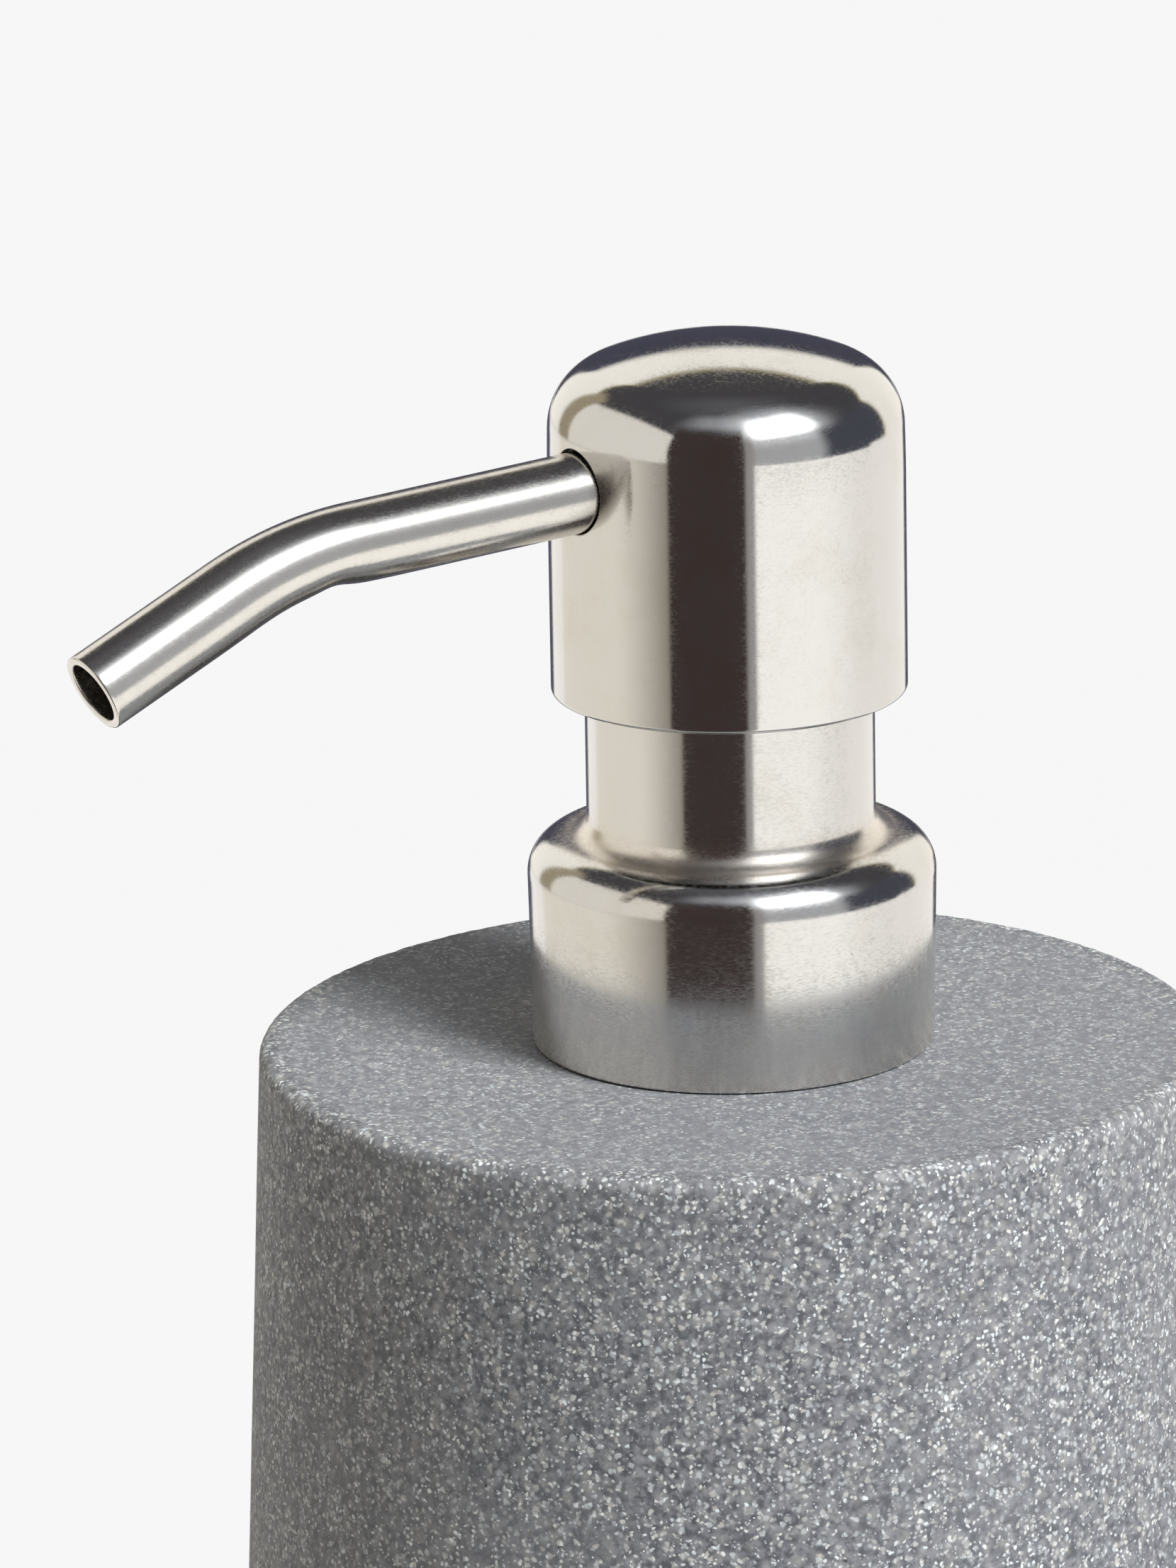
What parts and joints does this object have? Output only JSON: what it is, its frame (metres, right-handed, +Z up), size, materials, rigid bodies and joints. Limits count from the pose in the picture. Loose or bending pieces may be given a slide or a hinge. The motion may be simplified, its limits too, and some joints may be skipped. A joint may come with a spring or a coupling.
{
  "type": "soap pump dispenser",
  "caption": "Tapered round stone-look bottle with a domed steel pump head on a screw collar and a long bent spout that dispenses liquid soap when pressed.",
  "frame": {"origin": "centre of the underside of the foot pad, on the surface that the dispenser stands on", "axes": "+Z up along the axis of the bottle and pump; the spout points along -X"},
  "size_m": [0.0999, 0.085, 0.1765],
  "materials": {
    "stone": "matt cast stone resin with fine pale and cyan flecks",
    "foam_pad": "closed-cell foam pad",
    "natural_plastic": "natural moulded polypropylene",
    "gasket_foam": "soft sealing washer",
    "clear_tube": "milky clear extruded tube",
    "ball_steel": "polished steel ball",
    "spring_steel": "drawn stainless wire",
    "piston_plastic": "soft polyethylene",
    "dark_plastic": "black moulded polypropylene",
    "polished_steel": "polished drawn stainless steel with fine wear"
  },
  "bodies": {
    "bottle": {"bottle_body": "stone", "base_plate": "stone", "foot_pad": "foam_pad", "neck_insert": "natural_plastic"},
    "gasket": {"neck_gasket": "gasket_foam"},
    "pump": {"pump_cylinder": "natural_plastic", "cylinder_cap": "natural_plastic", "dip_tube": "clear_tube", "ball_cage": "natural_plastic", "return_spring": "spring_steel"},
    "inlet_valve": {"inlet_ball": "ball_steel"},
    "collar": {"thread_cap": "dark_plastic", "collar_shell": "polished_steel"},
    "plunger": {"stem": "natural_plastic", "piston_stem": "natural_plastic"},
    "piston_seal": {"piston": "piston_plastic"},
    "head": {"head_core": "dark_plastic", "dome_shell": "polished_steel", "spout": "polished_steel"}
  },
  "joints": [
    {"name": "pump_lift", "type": "slide", "parent": "bottle", "child": "gasket", "axis": [0, 0, 1], "range_m": [0, 0.13]},
    {"name": "unscrew_rise", "type": "slide", "parent": "gasket", "child": "pump", "axis": [0, 0, 1], "range_m": [0, 0.0053]},
    {"name": "collar_turn", "type": "hinge", "parent": "pump", "child": "collar", "pos_m": [0, 0, 0.128], "axis": [0, 0, 1], "range_deg": [0, 450]},
    {"name": "head_press", "type": "slide", "parent": "pump", "child": "plunger", "axis": [0, 0, 1], "range_m": [-0.01, 0], "stiffness_N_per_m": 800, "springref_m": 0.01, "deforming": ["return_spring"]},
    {"name": "head_swivel", "type": "hinge", "parent": "plunger", "child": "head", "pos_m": [0, 0, 0.16], "axis": [0, 0, 1], "continuous": true},
    {"name": "piston_slip", "type": "slide", "parent": "plunger", "child": "piston_seal", "axis": [0, 0, 1], "range_m": [0, 0.0012]},
    {"name": "inlet_ball_lift", "type": "slide", "parent": "pump", "child": "inlet_valve", "axis": [0, 0, 1], "range_m": [0, 0.0015]}
  ],
  "couplings": [
    {"joint": "unscrew_rise", "follows": "collar_turn", "m_per_rad": 0.00066845}
  ]
}
